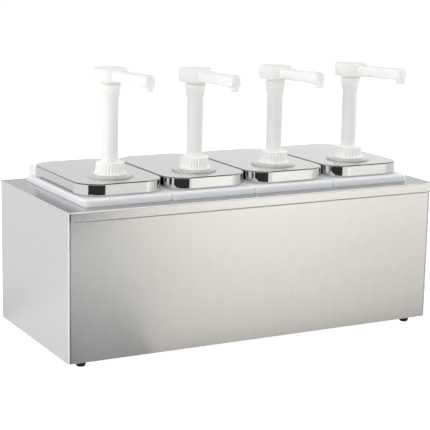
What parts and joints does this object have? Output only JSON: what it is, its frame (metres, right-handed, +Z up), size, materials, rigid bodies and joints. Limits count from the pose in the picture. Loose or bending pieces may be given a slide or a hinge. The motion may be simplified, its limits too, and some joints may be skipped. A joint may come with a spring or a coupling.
{
  "type": "condiment pump dispenser",
  "caption": "Counter-top condiment station: a stainless steel box holding lift-out plastic pans in a row, each with a steel lid and a push-down pump with a front spout.",
  "frame": {"origin": "bottom centre of the bounding box, on the surface the feet stand on", "axes": "+X along the box to the right as seen from the spouts' side, +Y from the spouts to the back, +Z up"},
  "size_m": [0.566, 0.2636, 0.382],
  "materials": {
    "brushed_steel": "brushed stainless sheet",
    "polished_steel": "mirror-polished sides with a satin top",
    "spring_steel": "drawn stainless wire",
    "pan_plastic": "translucent bluish white polyethylene",
    "pump_plastic": "satin white moulded plastic",
    "seal_rubber": "grey food-grade rubber",
    "foot_rubber": "matt black rubber"
  },
  "bodies": {
    "housing": {"top_frame": "brushed_steel", "front_panel": "brushed_steel", "back_panel": "brushed_steel", "left_panel": "brushed_steel", "right_panel": "brushed_steel", "bottom_panel": "brushed_steel", "foot_front_left": "foot_rubber", "foot_front_right": "foot_rubber", "foot_back_left": "foot_rubber", "foot_back_right": "foot_rubber"},
    "pan_1": {"pan_1": "pan_plastic"},
    "lid_1": {"lid_1": "polished_steel", "disc_1": "polished_steel", "cap_nut_1": "pump_plastic", "cylinder_1": "pump_plastic", "suction_tube_1": "pump_plastic", "return_spring_1": "spring_steel"},
    "ball_1": {"inlet_ball_1": "spring_steel"},
    "plunger_1": {"stem_1": "pump_plastic", "piston_seal_1": "seal_rubber", "collar_1": "pump_plastic"},
    "head_1": {"head_1": "pump_plastic"},
    "pan_2": {"pan_2": "pan_plastic"},
    "lid_2": {"lid_2": "polished_steel", "disc_2": "polished_steel", "cap_nut_2": "pump_plastic", "cylinder_2": "pump_plastic", "suction_tube_2": "pump_plastic", "return_spring_2": "spring_steel"},
    "ball_2": {"inlet_ball_2": "spring_steel"},
    "plunger_2": {"stem_2": "pump_plastic", "piston_seal_2": "seal_rubber", "collar_2": "pump_plastic"},
    "head_2": {"head_2": "pump_plastic"},
    "pan_3": {"pan_3": "pan_plastic"},
    "lid_3": {"lid_3": "polished_steel", "disc_3": "polished_steel", "cap_nut_3": "pump_plastic", "cylinder_3": "pump_plastic", "suction_tube_3": "pump_plastic", "return_spring_3": "spring_steel"},
    "ball_3": {"inlet_ball_3": "spring_steel"},
    "plunger_3": {"stem_3": "pump_plastic", "piston_seal_3": "seal_rubber", "collar_3": "pump_plastic"},
    "head_3": {"head_3": "pump_plastic"},
    "pan_4": {"pan_4": "pan_plastic"},
    "lid_4": {"lid_4": "polished_steel", "disc_4": "polished_steel", "cap_nut_4": "pump_plastic", "cylinder_4": "pump_plastic", "suction_tube_4": "pump_plastic", "return_spring_4": "spring_steel"},
    "ball_4": {"inlet_ball_4": "spring_steel"},
    "plunger_4": {"stem_4": "pump_plastic", "piston_seal_4": "seal_rubber", "collar_4": "pump_plastic"},
    "head_4": {"head_4": "pump_plastic"}
  },
  "joints": [
    {"name": "pan_1_lift", "type": "slide", "parent": "housing", "child": "pan_1", "axis": [0, 0, 1], "range_m": [0, 0.2]},
    {"name": "lid_1_lift", "type": "slide", "parent": "pan_1", "child": "lid_1", "axis": [0, 0, 1], "range_m": [0, 0.2]},
    {"name": "ball_1_lift", "type": "slide", "parent": "lid_1", "child": "ball_1", "axis": [0, 0, 1], "range_m": [0, 0.0025]},
    {"name": "plunger_1_stroke", "type": "slide", "parent": "lid_1", "child": "plunger_1", "axis": [0, 0, -1], "range_m": [0, 0.0845], "stiffness_N_per_m": 150, "springref_m": -0.0045, "deforming": ["return_spring_1"]},
    {"name": "head_1_swivel", "type": "hinge", "parent": "plunger_1", "child": "head_1", "pos_m": [-0.18835, -0.03581, 0.36], "axis": [0, 0, 1], "range_deg": [-38.7, 21.3]},
    {"name": "pan_2_lift", "type": "slide", "parent": "housing", "child": "pan_2", "axis": [0, 0, 1], "range_m": [0, 0.2]},
    {"name": "lid_2_lift", "type": "slide", "parent": "pan_2", "child": "lid_2", "axis": [0, 0, 1], "range_m": [0, 0.2]},
    {"name": "ball_2_lift", "type": "slide", "parent": "lid_2", "child": "ball_2", "axis": [0, 0, 1], "range_m": [0, 0.0025]},
    {"name": "plunger_2_stroke", "type": "slide", "parent": "lid_2", "child": "plunger_2", "axis": [0, 0, -1], "range_m": [-0.0045, 0.08], "stiffness_N_per_m": 150, "springref_m": -0.0045, "deforming": ["return_spring_2"]},
    {"name": "head_2_swivel", "type": "hinge", "parent": "plunger_2", "child": "head_2", "pos_m": [-0.06185, -0.03581, 0.36], "axis": [0, 0, 1], "range_deg": [-37.2, 22.8]},
    {"name": "pan_3_lift", "type": "slide", "parent": "housing", "child": "pan_3", "axis": [0, 0, 1], "range_m": [0, 0.2]},
    {"name": "lid_3_lift", "type": "slide", "parent": "pan_3", "child": "lid_3", "axis": [0, 0, 1], "range_m": [0, 0.2]},
    {"name": "ball_3_lift", "type": "slide", "parent": "lid_3", "child": "ball_3", "axis": [0, 0, 1], "range_m": [0, 0.0025]},
    {"name": "plunger_3_stroke", "type": "slide", "parent": "lid_3", "child": "plunger_3", "axis": [0, 0, -1], "range_m": [-0.0045, 0.08], "stiffness_N_per_m": 150, "springref_m": -0.0045, "deforming": ["return_spring_3"]},
    {"name": "head_3_swivel", "type": "hinge", "parent": "plunger_3", "child": "head_3", "pos_m": [0.06465, -0.03581, 0.36], "axis": [0, 0, 1], "range_deg": [-39.5, 20.5]},
    {"name": "pan_4_lift", "type": "slide", "parent": "housing", "child": "pan_4", "axis": [0, 0, 1], "range_m": [0, 0.2]},
    {"name": "lid_4_lift", "type": "slide", "parent": "pan_4", "child": "lid_4", "axis": [0, 0, 1], "range_m": [0, 0.2]},
    {"name": "ball_4_lift", "type": "slide", "parent": "lid_4", "child": "ball_4", "axis": [0, 0, 1], "range_m": [0, 0.0025]},
    {"name": "plunger_4_stroke", "type": "slide", "parent": "lid_4", "child": "plunger_4", "axis": [0, 0, -1], "range_m": [-0.0045, 0.08], "stiffness_N_per_m": 150, "springref_m": -0.0045, "deforming": ["return_spring_4"]},
    {"name": "head_4_swivel", "type": "hinge", "parent": "plunger_4", "child": "head_4", "pos_m": [0.19115, -0.03581, 0.36], "axis": [0, 0, 1], "range_deg": [-46.6, 13.4]}
  ]
}
